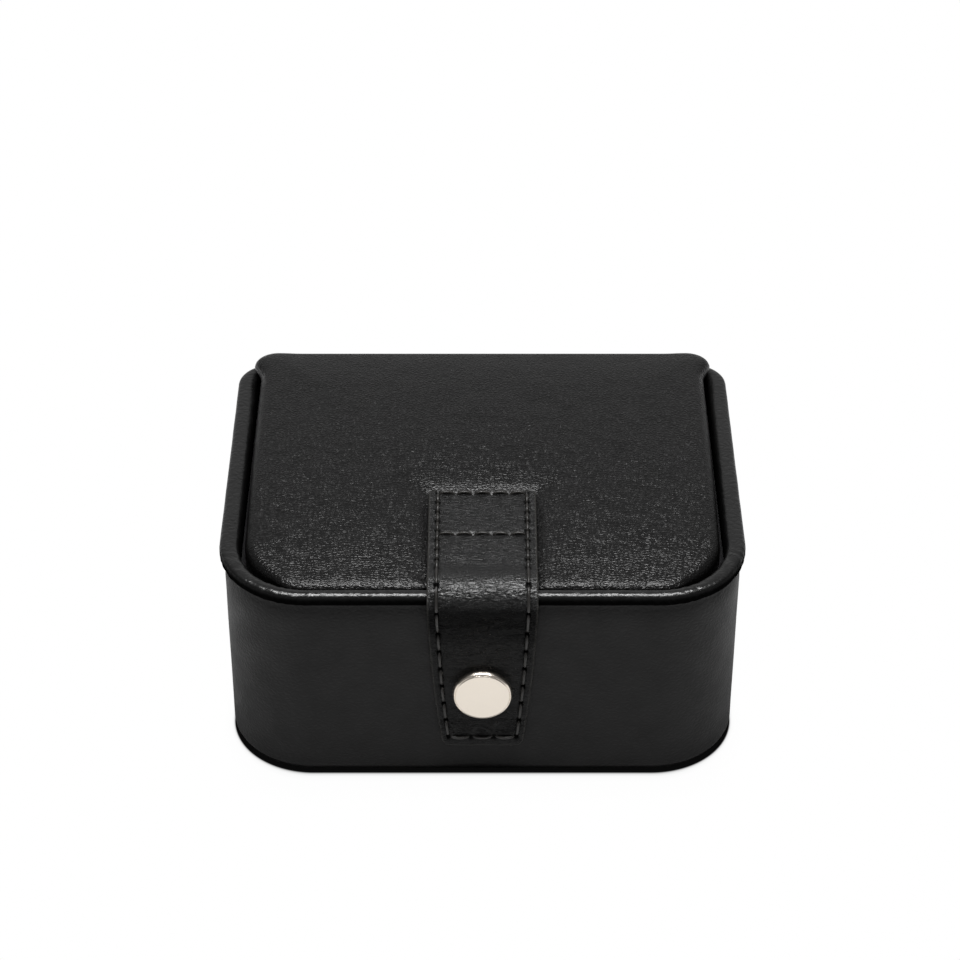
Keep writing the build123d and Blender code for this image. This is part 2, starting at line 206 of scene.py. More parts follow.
def rounded_loop(half, front, rear, front_radius, rear_radius, step):
    """Closed outline as (x, y, nx, ny), from the middle of the rear round by the left."""
    points = []

    def straight(x0, y0, x1, y1, nx, ny):
        count = max(2, int(hypot(x1 - x0, y1 - y0) / step))
        for i in range(count):
            t = i / count
            points.append((x0 + (x1 - x0) * t, y0 + (y1 - y0) * t, nx, ny))

    def corner(cx, cy, radius, start):
        count = max(8, int(radius * pi / 2 / step))
        for i in range(count):
            a = radians(start) + pi / 2 * i / count
            points.append((cx + radius * cos(a), cy + radius * sin(a), cos(a), sin(a)))

    straight(0, rear, -half + rear_radius, rear, 0, 1)
    corner(-half + rear_radius, rear - rear_radius, rear_radius, 90)
    straight(-half, rear - rear_radius, -half, front + front_radius, -1, 0)
    corner(-half + front_radius, front + front_radius, front_radius, 180)
    straight(-half + front_radius, front, half - front_radius, front, 0, -1)
    corner(half - front_radius, front + front_radius, front_radius, 270)
    straight(half, front + front_radius, half, rear - rear_radius, 1, 0)
    corner(half - rear_radius, rear - rear_radius, rear_radius, 0)
    straight(half - rear_radius, rear, 0, rear, 0, 1)
    return points


def case_line(step):
    """The case's outline from one end of the wall to the other, open at the back."""
    loop = rounded_loop(HALF_WIDTH, -HALF_DEPTH, HALF_DEPTH, FRONT_CORNER, REAR_CORNER, step)
    line = [p for p in loop if not (p[3] > 0.999 and abs(p[0]) < REAR_FLAT)]
    return [(-REAR_FLAT, HALF_DEPTH, 0, 1)] + line[1:] + [(REAR_FLAT, HALF_DEPTH, 0, 1)]


def sweep(name, line, profile, material, closed=False, places=None):
    """A closed cross-section carried along a line. profile gives (out, z) points at a station and
    places the place on the leather of the point of a given index."""
    points = []
    for x, y, nx, ny in line:
        section = profile(x, y, nx, ny)
        points += [(x + nx * out, y + ny * out, z) for out, z in section]
    around = len(section)
    rows = len(line)
    if closed:
        points += points[:around]
        rows += 1
    faces = grid_faces(rows, around, wrap=True)
    if not closed:
        faces += [row_face(around, 0), row_face(around, rows - 1)]
    return make_piece(name, points, faces, material, places and [places(i) for i in range(len(points))])


# Materials

def linear(code):
    """Linear colour of an sRGB hex code."""
    parts = [int(code[i:i + 2], 16) / 255 for i in (1, 3, 5)]
    return [c / 12.92 if c < 0.04045 else ((c + 0.055) / 1.055) ** 2.4 for c in parts] + [1.0]


def add_node(tree, kind, inputs=None, **settings):
    """Adds a node. settings are its own values or, where it has no such value, its inputs by
    name. inputs join its inputs to other nodes, by an output or the first one, or give values."""
    node = tree.nodes.new(kind)
    for key, value in settings.items():
        if hasattr(node, key):
            setattr(node, key, value)
        else:
            node.inputs[key.replace("_", " ")].default_value = value
    for key, source in (inputs or {}).items():
        if isinstance(source, bpy.types.Node):
            source = source.outputs[0]
        if isinstance(source, bpy.types.NodeSocket):
            tree.links.new(source, node.inputs[key])
        else:
            node.inputs[key].default_value = source
    return node


def new_material(name, **surface):
    """A material with its Principled shader, whose constant values are set on its own sockets."""
    material = bpy.data.materials.new(name)
    material.use_nodes = True
    tree = material.node_tree
    shader = tree.nodes["Principled BSDF"]
    for key, value in surface.items():
        shader.inputs[key.replace("_", " ")].default_value = value
    return material, tree, shader


def ramp(tree, source, stops):
    """A ramp of greys over source with (place, level) stops."""
    node = add_node(tree, "ShaderNodeValToRGB", {"Fac": source})
    band = node.color_ramp
    for i, (place, level) in enumerate(stops):
        stop = band.elements[i] if i < 2 else band.elements.new(place)
        stop.position = place
        stop.color = (level, level, level, 1.0)
    return node.outputs["Color"]


def dress(tree, shader, dark, worn, tone, low, high, gloss, layers):
    """Colour from dark to worn by tone, roughness from low to high by gloss, and layers of
    (height, depth in millimetres) bumps over each other. Returns the colour and the roughness."""
    colour = add_node(tree, "ShaderNodeMix", {"Factor": tone, "A": linear(dark), "B": linear(worn)},
                      data_type="RGBA").outputs["Result"]
    matt = add_node(tree, "ShaderNodeMapRange", {"Value": gloss}, From_Min=0.3, From_Max=0.7,
                    To_Min=low, To_Max=high).outputs[0]
    normal = {}
    for height, depth in layers:
        bump = add_node(tree, "ShaderNodeBump", {"Height": height, **normal}, Strength=1.0,
                        Distance=depth * MM)
        normal = {"Normal": bump.outputs[0]}
    for name, output in (("Base Color", colour), ("Roughness", matt), *normal.items()):
        tree.links.new(output, shader.inputs[name])
    return colour, matt


def grained_calf(name, dark, worn, pebble, depth, low, high, specular, wave=0.12, shine=None):
    """Boarded calf, drum dyed black: pebbles of the given width in millimetres, wider than deep,
    with fine valleys between them, and a slow wave in the skin under them. shine gives stops of
    reflection over the UV map's second coordinate, whose low stops paint shade, and the skin is
    rough where it doesn't shine."""
    material, tree, shader = new_material(name, Specular_IOR_Level=specular)
    place = add_node(tree, "ShaderNodeTexCoord").outputs["Object"]
    warp = add_node(tree, "ShaderNodeTexNoise", {"Vector": place}, Scale=420.0, Detail=3.0).outputs["Color"]
    centred = add_node(tree, "ShaderNodeVectorMath", {0: warp, 1: (0.5, 0.5, 0.5)}, operation="SUBTRACT")
    bent = add_node(tree, "ShaderNodeVectorMath", {0: centred}, operation="SCALE", Scale=pebble * 1.6 * MM)
    moved = add_node(tree, "ShaderNodeVectorMath", {0: place, 1: bent}, operation="ADD")
    wide = add_node(tree, "ShaderNodeMapping", {"Vector": moved}, Scale=(0.7, 1.0, 1.0))
    cells = add_node(tree, "ShaderNodeTexVoronoi", {"Vector": wide}, feature="DISTANCE_TO_EDGE",
                     Scale=1 / (pebble * MM)).outputs["Distance"]
    valley = ramp(tree, cells, [(0.0, 0), (0.30, 1)])
    pores = add_node(tree, "ShaderNodeTexNoise", {"Vector": wide}, Scale=2.6 / (pebble * MM), Detail=2.0)
    broad = add_node(tree, "ShaderNodeTexNoise", {"Vector": place}, Scale=210.0, Detail=3.0)
    height = add_node(tree, "ShaderNodeMath", {0: pores, 1: 0.9, 2: valley}, operation="MULTIPLY_ADD")
    matt = dress(tree, shader, dark, worn, valley, low, high, broad, [(height, depth), (broad, wave)])[1]
    # Reflection set by place on the leather: where the stops fall to none, this paints shade
    if shine:
        uv = add_node(tree, "ShaderNodeUVMap", uv_map="leather")
        turn = add_node(tree, "ShaderNodeSeparateXYZ", {"Vector": uv}).outputs["Y"]
        level = ramp(tree, turn, shine)
        tree.links.new(level, shader.inputs["Specular IOR Level"])
        dull = add_node(tree, "ShaderNodeMapRange", {"Value": level}, From_Min=0.0, From_Max=0.4,
                        To_Min=0.9, To_Max=0.0)
        rougher = add_node(tree, "ShaderNodeMath", {0: matt, 1: dull}, operation="MAXIMUM")
        tree.links.new(rougher.outputs[0], shader.inputs["Roughness"])
    return material


# Along the strap, by place in its UV map. Where it is bent: over the rim, and a little near the tip
BEND_STOPS = [(0.0, 0.0), (0.21, 0.0), (0.245, 0.8), (0.31, 1.0), (0.37, 0.55), (0.43, 0.12), (0.56, 0.1),
              (0.60, 0.45), (0.625, 0.1)]
# Where it lies slack and folds: under the bend, a little on the tab and beside the cap
SLACK_STOPS = [(0.0, 0.12), (0.27, 0.2), (0.33, 0.9), (0.40, 0.7), (0.47, 0.3), (0.56, 0.3), (0.605, 1.0),
               (0.635, 0.9), (0.655, 0.1)]
# How much it reflects: fairly over the lid, most over the bend, which paints its highlight brighter, almost
# none just under the bend as painted shade, and little down the tab, also painted shade
STRAP_SHEEN_AND_SHADE_STOPS = [(0.0, 0.38), (0.24, 0.40), (0.27, 0.55), (0.30, 0.5), (0.325, 0.05), (0.36, 0.04),
               (0.42, 0.14), (0.62, 0.17)]
# Grey on its cut edges: partly edge paint, partly a painted highlight for the light the rounded edges catch
EDGE_PAINT_AND_HIGHLIGHT = "#2c2b29"


def waxed_calf(name, dark, worn, low, high):
    """Strap calf, waxed and ironed smooth: fine creases across the strap, folds where it lies
    slack, and a crackle of short wrinkles where it bends over the rim."""
    material, tree, shader = new_material(name)
    uv = add_node(tree, "ShaderNodeUVMap", uv_map="leather")
    run = add_node(tree, "ShaderNodeSeparateXYZ", {"Vector": uv}).outputs["Y"]
    fine, short, long = [
        add_node(tree, "ShaderNodeMapping", {"Vector": uv}, Scale=scale, Rotation=(0, 0, slant))
        for scale, slant in (((62.0, 200.0, 1.0), 0.16), ((120.0, 230.0, 1.0), 0.3), ((26.0, 75.0, 1.0), 0.3))
    ]
    creases = add_node(tree, "ShaderNodeTexNoise", {"Vector": fine}, noise_dimensions="2D", Scale=1.0,
                       Detail=3.0, Distortion=1.2)
    crackle = add_node(tree, "ShaderNodeTexVoronoi", {"Vector": short}, voronoi_dimensions="2D",
                       feature="SMOOTH_F1", Scale=1.0, Smoothness=0.5).outputs["Distance"]
    crumple = add_node(tree, "ShaderNodeMath", {0: crackle, 1: ramp(tree, run, BEND_STOPS)},
                       operation="MULTIPLY")
    pores = add_node(tree, "ShaderNodeTexNoise", {"Vector": uv}, noise_dimensions="2D", Scale=260.0,
                     Detail=2.0)
    folds = add_node(tree, "ShaderNodeTexNoise", {"Vector": long}, noise_dimensions="2D", Scale=1.0,
                     Detail=4.0, Roughness=0.6, Distortion=1.5)
    sharp = ramp(tree, folds, [(0.0, 1.0), (0.47, 0.85), (0.52, 0.0), (0.58, 0.8), (1.0, 1.0)])
    slack = add_node(tree, "ShaderNodeMath", {0: sharp, 1: ramp(tree, run, SLACK_STOPS)},
                     operation="MULTIPLY")
    colour = dress(tree, shader, dark, worn, creases, low, high, creases,
                   [(slack, 0.16), (creases, 0.12), (crumple, 0.09), (pores, 0.02)])[0]
    # Cut edges lightened to grey: edge paint and a painted highlight along them
    edge_map = add_node(tree, "ShaderNodeUVMap", uv_map="edge")
    edge = add_node(tree, "ShaderNodeSeparateXYZ", {"Vector": edge_map}).outputs["X"]
    edge_paint_and_highlight = add_node(tree, "ShaderNodeMix", {"Factor": edge, "A": colour, "B": linear(EDGE_PAINT_AND_HIGHLIGHT)},
                     data_type="RGBA")
    tree.links.new(edge_paint_and_highlight.outputs["Result"], shader.inputs["Base Color"])
    # Reflection set by place along the strap: painted highlight over the bend, painted shade under it and
    # down the tab
    tree.links.new(ramp(tree, run, STRAP_SHEEN_AND_SHADE_STOPS), shader.inputs["Specular IOR Level"])
    return material


def plain_material(name, code, other, roughness, bump_size, bump_depth, **surface):
    """A surface mottled between two colours, with a fine texture of bump_size millimetres."""
    material, tree, shader = new_material(name, **surface)
    place = add_node(tree, "ShaderNodeTexCoord").outputs["Object"]
    texture = add_node(tree, "ShaderNodeTexNoise", {"Vector": place}, Scale=1 / (bump_size * MM),
                       Detail=4.0)
    cloud = add_node(tree, "ShaderNodeTexNoise", {"Vector": place}, Scale=150.0, Detail=2.0)
    dress(tree, shader, code, other, cloud, roughness - 0.06, roughness + 0.06, texture,
          [(texture, bump_depth)])
    return material


# Lid: boarded calf with its pebble grain raised by hand, semi-matt
lid_calf = grained_calf("boarded_calf", "#060606", "#0b0a0a", 0.55, 0.048, 0.26, 0.33, 0.35)
# Rim: the same skin pulled tight over cord, so its grain lies flat; its reflection is cut to none on the
# bead's underside, painted shade there
rim_calf = grained_calf("stretched_calf", "#060606", "#0a0a0a", 1.1, 0.03, 0.27, 0.36, 0.5, wave=0.03,
                        shine=[(0.0, 0.0), (0.42, 0.0), (0.5, 0.03), (0.62, 0.12), (0.79, 0.6), (1.0, 0.6)])
# Walls: the same skin pasted to board, so its grain is pressed flat and matt
wall_calf = grained_calf("pasted_calf", "#080808", "#0c0b0b", 0.9, 0.035, 0.46, 0.56, 0.25, wave=0.05)
# Skived edge turned in behind the rim, raw and matt
skived_edge = plain_material("skived_edge", "#040404", "#060606", 0.9, 0.3, 0.05, Specular_IOR_Level=0.0)
# Strap: waxed calf, smooth but for its creases
strap_calf = waxed_calf("waxed_strap_calf", "#060606", "#0a0a0a", 0.26, 0.38)
# Suede of goat: short nap with no gloss
suede = plain_material("goat_suede", "#141315", "#1c1b1e", 0.95, 0.25, 0.08,
                       Sheen_Weight=0.35, Sheen_Roughness=0.5, Specular_IOR_Level=0.15)
# Waxed linen thread
thread = plain_material("waxed_linen_thread", "#1b1a18", "#252321", 0.36, 0.14, 0.05)
# Nickel-plated brass, satin polished
cap_metal = plain_material("satin_nickel_plate", "#f4ebde", "#efe5d8", 0.22, 0.08, 0.002, Metallic=1.0)
# Plated steel of the keeper, washer and magnet
steel = plain_material("plated_steel", "#b5b2ad", "#aca9a3", 0.3, 0.1, 0.003, Metallic=1.0)
# Binder's board, dyed black
board = plain_material("black_board", "#171615", "#131211", 0.9, 0.3, 0.03)
# Twisted paper cord
cord = plain_material("twisted_paper_cord", "#a3937a", "#95866e", 0.85, 0.4, 0.08)

CAD_FINISHES = {
    board: ("base_board", "wall_board", "back_board", "inner_frame", "lid_board"),
    cord: ("rim_cord",),
    steel: ("keeper_disc", "keeper_washer", "tab_magnet"),
    wall_calf: ("base_cover",),
    suede: ("long_divider", "cross_divider_left", "cross_divider_right"),
}
for finish, names in CAD_FINISHES.items():
    for name in names:
        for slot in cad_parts[name].material_slots:
            slot.material = finish


# Case

def wall_section(x, y, *_):
    """Wall leather from its turned-under edge round the bottom roll and up under the bead, where it
    is drawn in tight."""
    section = [(-LEATHER - TURN_UNDER, WALL_FOOT)]
    for a in steps(0, pi / 2, 6):
        section.append((-BOTTOM_ROLL + BOTTOM_ROLL * sin(a), WALL_FOOT + BOTTOM_ROLL - BOTTOM_ROLL * cos(a)))
    heights = [3.2 + k * 1.6 for k in range(22)] + [38.6, 39.2, 39.7, 40.2, 40.6, WALL_TOP]
    for z in heights:
        swell = 0.1 * rough(x, y, z, 14) * smooth(z, 3, 8) * (1 - smooth(z, 34, 38))
        pinch = 0.5 * smooth(z, 37.5, 40.6)
        section.append((swell - pinch, z))
    return section + [(-LEATHER, WALL_TOP), (-LEATHER, WALL_FOOT + LEATHER + 0.3),
                      (-LEATHER - 0.3, WALL_FOOT + LEATHER), (-LEATHER - TURN_UNDER, WALL_FOOT + LEATHER)]


HOLE_AROUND = 64
wall_cover = sweep("wall_cover", case_line(1.0), wall_section, wall_calf)
keeper_hole = make_piece("keeper_hole",
                         turned([(KEEPER_RADIUS, -HALF_DEPTH + out) for out in (-2, 2)], HOLE_AROUND),
                         grid_faces(2, HOLE_AROUND, wrap=True) + [row_face(HOLE_AROUND, i) for i in (0, 1)],
                         wall_calf)
cut = wall_cover.modifiers.new("keeper_hole", "BOOLEAN")
cut.object = keeper_hole
cut.operation = "DIFFERENCE"
applied(wall_cover)
bpy.data.objects.remove(keeper_hole)
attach(wall_cover, "case")
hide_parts("wall_leather")


BEAD_AROUND = 30
# Turn up from the bead's outer side where the bead keeps its full reflection; towards the opposite side its
# reflection is taken away as painted shade
BEAD_REFLECTION_TURN = radians(108)


def bead_section(x, y, nx, ny):
    """Leather rolled round the cord, pressed flatter along the sides and puckered into fine
    slanting pleats where it turns the front corners."""
    corner = smooth(abs(nx * ny), 0.03, 0.3) * smooth(-y, 5, 12)
    run = x * 0.9 - y * 0.9 * (1 if x > 0 else -1)
    press = 2 + 0.9 * abs(nx) ** 2
    section = []
    for a in steps(0, 2 * pi, BEAD_AROUND)[:-1]:
        pleat = 0.045 * corner * sin(run * 5.2 + 2.2 * a + 2.5 * rough(x, y, 0, 3))
        lump = 0.035 * rough(x, y, a * 2, 5)
        radius = BEAD_RADIUS / (abs(cos(a)) ** press + abs(sin(a)) ** press) ** (1 / press) + pleat + lump
        z = BEAD_HEIGHT + radius * sin(a)
        spread = 1 + (0.55 * nx ** 2 if cos(a) < 0 else 0)
        section.append((-BEAD_IN + radius * cos(a) * spread, max(z, WALL_TOP - 0.15)))
    return section


def around_bead(i):
    """Place on the bead's leather. Its second value is 100 where the bead keeps its full reflection
    and falls to 0 on the side opposite, where its reflection is painted out as shade."""
    return (i // BEAD_AROUND * 0.4, 50 + 50 * cos(2 * pi * (i % BEAD_AROUND) / BEAD_AROUND - BEAD_REFLECTION_TURN))


bead = sweep("rim_bead", case_line(0.4), bead_section, rim_calf, places=around_bead)
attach(bead, "case")
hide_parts("rim_leather")


def facing_section(*_):
    """Turned-in edge of the bead's leather, over the board and down the inside to the ledge."""
    return [
        (-1.1, WALL_TOP), (-1.3, WALL_TOP + 0.4), (-2.6, WALL_TOP + 0.4), (-2.85, WALL_TOP + 0.25),
        (-3.0, WALL_TOP - 0.1), (-3.0, 39.2), (-3.0, LEDGE), (-WALL, LEDGE), (-WALL, WALL_TOP),
    ]


facing = sweep("rim_turn_in", case_line(1.0), facing_section, skived_edge)
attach(facing, "case")
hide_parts("rim_facing")


# Inside

ROOM_HALF = 42.9
ROOM_DEPTH = 31.9
ROOM_FRONT_CORNER = 10.9
FLOOR = 6.6
FLOOR_FOOT = 4.1
DIVIDER_X = 14.9
PAD_GAP = 1.0


def ledge_section(x, y, *_):
    """Suede over the inner board: the ledge, its soft inner edge and down to the floor."""
    nap = 0.04 * rough(x, y, 0, 6)
    section = [(0.0, LEDGE), (-1.6, LEDGE), (-2.1, LEDGE - 0.12), (-2.4, LEDGE - 0.4), (-2.5, LEDGE - 0.9)]
    section += [(-2.5 + nap, z) for z in steps(LEDGE - 0.9, FLOOR_FOOT, 8)[1:]]
    return section + [(-2.0, FLOOR_FOOT), (-2.0, LEDGE - 0.5), (0.0, LEDGE - 0.5)]


inner_line = rounded_loop(HALF_WIDTH - WALL, -HALF_DEPTH + WALL, HALF_DEPTH - WALL,
                          FRONT_CORNER - WALL, REAR_CORNER - WALL, 1.0)
ledge = sweep("ledge_suede", inner_line, ledge_section, suede, closed=True)
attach(ledge, "case")
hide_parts("frame_lining")


def cushion(name, half, front, rear, front_radius, rear_radius, height, foot, material):
    """A flat pad: rings drawn in to the middle, with height(x, y, inside) as its visible face."""
    outer = rounded_loop(half, front, rear, front_radius, rear_radius, 1.2)
    middle_y = (front + rear) / 2
    span = (rear - front) / 2
    ends = half - span
    insets = [0.0, 0.15, 0.5, 1.0, 1.8, 3.0, 4.5, 6.5]
    insets += [9 + 2.4 * k for k in range(int((span - 9) / 2.4) + 1)]
    points = [(x, y, foot) for x, y, *_ in outer]
    for inset in insets:
        t = inset / span
        for x, y, *_ in outer:
            core_x = min(max(x, -ends), ends)
            px = x + (core_x - x) * t
            py = y + (middle_y - y) * t
            points.append((px, py, height(px, py, inset)))
    count = len(outer)
    faces = grid_faces(len(insets) + 1, count, wrap=True)
    faces += [row_face(count, len(insets)), row_face(count, 0)]
    return make_piece(name, points, faces, material)


def floor_height(x, y, inside):
    """Thin foam under suede, pressed down along the dividers and the walls."""
    edge = 1 - exp(-inside / 1.2)
    cross = min(abs(abs(x) - DIVIDER_X), abs(y))
    return FLOOR - 0.5 + 0.5 * edge + 0.35 * (1 - exp(-max(cross - 1.2, 0) / 3)) * edge - 0.15


floor_cushion = cushion("floor_cushion", ROOM_HALF, -ROOM_DEPTH, ROOM_DEPTH, ROOM_FRONT_CORNER, 0.9,
                        floor_height, FLOOR_FOOT, suede)
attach(floor_cushion, "case")
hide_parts("floor_lining", "floor_pad")


def lid_pad_height(_x, _y, inside):
    """Padded panel under the lid, hanging in the room: its edge rolls, its middle swells."""
    return LEDGE - 1.35 * sqrt(1 - (1 - min(inside / 1.8, 1)) ** 2) - 0.25 * (1 - exp(-inside / 9))


lid_cushion = cushion("lid_cushion", ROOM_HALF - PAD_GAP, PAD_GAP - ROOM_DEPTH, ROOM_DEPTH - PAD_GAP,
                      ROOM_FRONT_CORNER - PAD_GAP, 0.6, lid_pad_height, LEDGE, suede)
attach(lid_cushion, "lid")
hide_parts("lid_pad")

LINING_IN = 0.3
LINING_REAR = 33.3
LINING_CORNER = 12.3
LINING_REAR_CORNER = 2.3
lining_loop = rounded_loop(LID_HALF - LINING_IN, LID_FRONT + LINING_IN, LINING_REAR, LINING_CORNER,
                           LINING_REAR_CORNER, 1.0)


def lining_section(*_):
    """Thin suede sheet between the lid and its padded panel, its edge rounded off below."""
    top = LID_BOTTOM - 0.02
    return [(-4.0, LEDGE), (-0.2, LEDGE), (0.0, LEDGE + 0.15), (0.0, top), (-4.0, top)]


# Lid, with the hinge and the back panel in one skin

def crown(y):
    """Height of the lid's top line at y, an arc from the low front to the high rear."""
    front_z, rear_z, rise = 43.3, 47.2, 1.0
    run, up = HALF_DEPTH - LID_FRONT, rear_z - front_z
    chord = hypot(run, up)
    radius = chord ** 2 / (8 * rise) + rise / 2
    centre_y = (LID_FRONT + HALF_DEPTH) / 2 + (radius - rise) * up / chord
    centre_z = (front_z + rear_z) / 2 - (radius - rise) * run / chord
    return centre_z + sqrt(radius ** 2 - (y - centre_y) ** 2)


def sunk(y):
    """How deep the strap's seams draw the padding down at y."""
    return 0.8 * (1 - 0.75 * smooth(-y, 14, 32))


def lid_tilt(y):
    """How far the padding stands over the crown at y, least at the back."""
    return 0.1 - 0.14 * (HALF_DEPTH + y) / (2 * HALF_DEPTH)


def roll_radius(nx):
    """Radius that the lid's edge is rolled to: tight in front, soft at the sides."""
    return 1.5 + 0.6 * nx ** 2


def lid_top(x, y, inside):
    """Padded top: the crown, softer towards its edges and drawn down round the strap."""
    away = hypot(max(abs(x) - STRAP_HALF, 0) * 1.1, max(y - STRAP_START, 0) * 0.8)
    dip = sunk(y) * exp(-(away / 4.6) ** 1.4)
    pillow = 0.9 * (1 - exp(-inside / 6)) - 0.5
    pillow -= 0.35 * smooth(abs(x), 39, 45.5) * smooth(y, 30, 36)
    pillow -= 0.4 * exp(-(away / 1.2) ** 2)
    lumps = 0.08 * rough(x, y, 0, 11) + 0.03 * rough(x, y, 7, 4)
    return crown(y) + lid_tilt(y) + pillow - dip + lumps * smooth(inside, 1, 6) * smooth(away, 1, 4)


def lid_inside(x, y):
    """Distance from a point of the lid in to its outline."""
    front_side = y < 0
    radius = LID_CORNER if front_side else LID_REAR_CORNER
    middle = (LID_FRONT + HALF_DEPTH) / 2
    qx = abs(x) - (LID_HALF - radius)
    qy = abs(y - middle) - ((HALF_DEPTH - LID_FRONT) / 2 - radius)
    return radius - hypot(max(qx, 0), max(qy, 0)) - min(max(qx, qy), 0)


def between(line, first, last, count):
    """count + 1 evenly spaced stations of a closed line between two indexes."""
    part = [line[i % len(line)] for i in range(first, last + 1)]
    result = []
    for _, j, t in stations(part, count):
        x, y, nx, ny = [a + (b - a) * t for a, b in zip(part[j], part[j + 1])]
        size = hypot(nx, ny)
        result.append((x, y, nx / size, ny / size))
    return result


# The lid's top: a grid over its core, and rings of stations from there to its edge
ACROSS = 112
ALONG = 88
CORE_HALF = 36.0
CORE_FRONT = -25.5
CORE_REAR = 31.0
lid_loop = rounded_loop(LID_HALF, LID_FRONT, HALF_DEPTH, LID_CORNER, LID_REAR_CORNER, 0.2)


def corner_index(sx, sy):
    """Index of the outline's point in the middle of a corner."""
    wanted = (sx * sqrt(0.5), sy * sqrt(0.5))
    return min(range(len(lid_loop)),
               key=lambda i: hypot(lid_loop[i][2] - wanted[0], lid_loop[i][3] - wanted[1]))


# From the rear corner on the left round by the front
corners = [corner_index(-1, 1), corner_index(-1, -1), corner_index(1, -1), corner_index(1, 1)]
corners.append(corners[0] + len(lid_loop))
core_corners = [(-CORE_HALF, CORE_REAR), (-CORE_HALF, CORE_FRONT), (CORE_HALF, CORE_FRONT),
                (CORE_HALF, CORE_REAR), (-CORE_HALF, CORE_REAR)]
rim_stations = []
core_line = []
for side, count in enumerate((ALONG, ACROSS, ALONG, ACROSS)):
    rim_stations += between(lid_loop, corners[side], corners[side + 1], count)[:-1]
    (ax, ay), (bx, by) = core_corners[side:side + 2]
    core_line += list(zip(steps(ax, bx, count), steps(ay, by, count)))[:-1]

lid_points = [(x, y, lid_top(x, y, lid_inside(x, y)))
              for y in steps(CORE_FRONT, CORE_REAR, ALONG) for x in steps(-CORE_HALF, CORE_HALF, ACROSS)]
lid_faces = grid_faces(ALONG + 1, ACROSS + 1)


def flare(x, y, z):
    """How far the leather stands out: over the ends of the bead at the rear corners, and over the
    gap all along the front."""
    place = smooth(y, 29, 34.5) * smooth(abs(x), 36, 43)
    front = 1.0 * smooth(-y, 31.0, 33.2) * smooth(z, 41.4, 42.2)
    return 1.7 * place * smooth(z, 43.6, 44.8) * (1 - 0.7 * smooth(z, 46.0, 47.4)) + front


def lid_foot(y):
    """Where the lid's side ends at the bottom, notched round the hinge line at the corners."""
    if HALF_DEPTH - y < NOTCH - 0.02:
        return LEDGE + sqrt(max(NOTCH ** 2 - (HALF_DEPTH - y) ** 2, 0.3))
    return LID_BOTTOM


def stood_out(px, py, z, station, share=1.0):
    """The point moved out by a share of its station's flare, and less so towards the back."""
    x, y, nx, ny = station
    bulge = flare(x, y, z) * share
    return px + nx * bulge, py + ny * bulge * (1 if y < 0 else 0.3), z


start = len(lid_points)
for t in steps(0, 1, 12):
    for station, (cx, cy) in zip(rim_stations, core_line):
        x, y, nx, ny = station
        ex, ey = x - nx * roll_radius(nx), y - ny * roll_radius(nx)
        px, py = cx + (ex - cx) * t, cy + (ey - cy) * t
        top = lid_top(px, py, lid_inside(px, py))
        lid_points.append(stood_out(px, py, top, station, smooth(t, 0.5, 1.0)))
for a in steps(0, pi / 2, 10)[1:]:
    for station in rim_stations:
        x, y, nx, ny = station
        out = -roll_radius(nx) * (1 - sin(a))
        px, py = x + nx * out, y + ny * out
        lid_points.append(stood_out(px, py, lid_top(px, py, -out) - roll_radius(nx) * (1 - cos(a)), station))
for t in steps(0, 1, 8)[1:]:
    for station in rim_stations:
        x, y, nx, ny = station
        high = lid_top(x, y, 0) - roll_radius(nx)
        lid_points.append(stood_out(x, y, high + (lid_foot(y) - high) * t, station))
for x, y, nx, ny in rim_stations:
    lid_points.append((x - nx * 2.6, y - ny * 2.6, lid_foot(y)))
around = len(rim_stations)
lid_faces += grid_faces((len(lid_points) - start) // around, around, wrap=True, start=start)

# The tongue, hinge strip and back panel behind the rear edge, down to the turned-under foot
back_rows = [44.4, 43.0, 41.5, 40.2, 39.6, 39.2, 38.8, 38.5, 38.2, 37.8, 37.4, 36.8, 35.5]
back_rows += [34 - 2 * k for k in range(16)] + [2.6]
start = len(lid_points)
tongue_places = steps(-TONGUE, TONGUE, 84)
for z in back_rows:
    groove = 0.22 * exp(-((z - LEDGE) / 0.8) ** 2)
    for x in tongue_places:
        puff = 0.12 * rough(x, 3, z, 16) * smooth(z, 3, 8) * (1 - smooth(z, 34, 37))
        lid_points.append((x, HALF_DEPTH + puff - groove, z))
for a in steps(0, pi / 2, 6)[1:]:
    y, z = HALF_DEPTH - BOTTOM_ROLL * (1 - cos(a)), WALL_FOOT + BOTTOM_ROLL * (1 - sin(a))
    lid_points += [(x, y, z) for x in tongue_places]
lid_points += [(x, HALF_DEPTH - LEATHER - TURN_UNDER, WALL_FOOT) for x in tongue_places]
lid_faces += grid_faces(len(back_rows) + 7, len(tongue_places), start=start)

# The notches' own faces and the tongue's sides
notch_turns = [radians(turn) for turn in steps(5, 90, 12)]
for side in (-1, 1):
    curved = [(x, NOTCH) for x in (TONGUE, LID_HALF + 0.02)]
    flat = [(TONGUE, radius) for radius in (0.5, 2.0, 4.0, NOTCH + 0.1)]
    for part in (curved, flat):
        start = len(lid_points)
        lid_points += [(side * x, HALF_DEPTH - radius * cos(a), LEDGE + radius * sin(a))
                       for x, radius in part for a in notch_turns]
        lid_faces += grid_faces(len(part), len(notch_turns), start=start)

lid_skin = make_piece("lid_skin", lid_points, lid_faces, lid_calf)
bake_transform(lid_skin)
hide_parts("lid_leather", "lid_foam", "hinge_leather", "back_leather")

lid_suede = sweep("lid_suede", lining_loop, lining_section, suede, closed=True)
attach(lid_suede, "lid")
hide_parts("lid_lining")


# Strap and tab

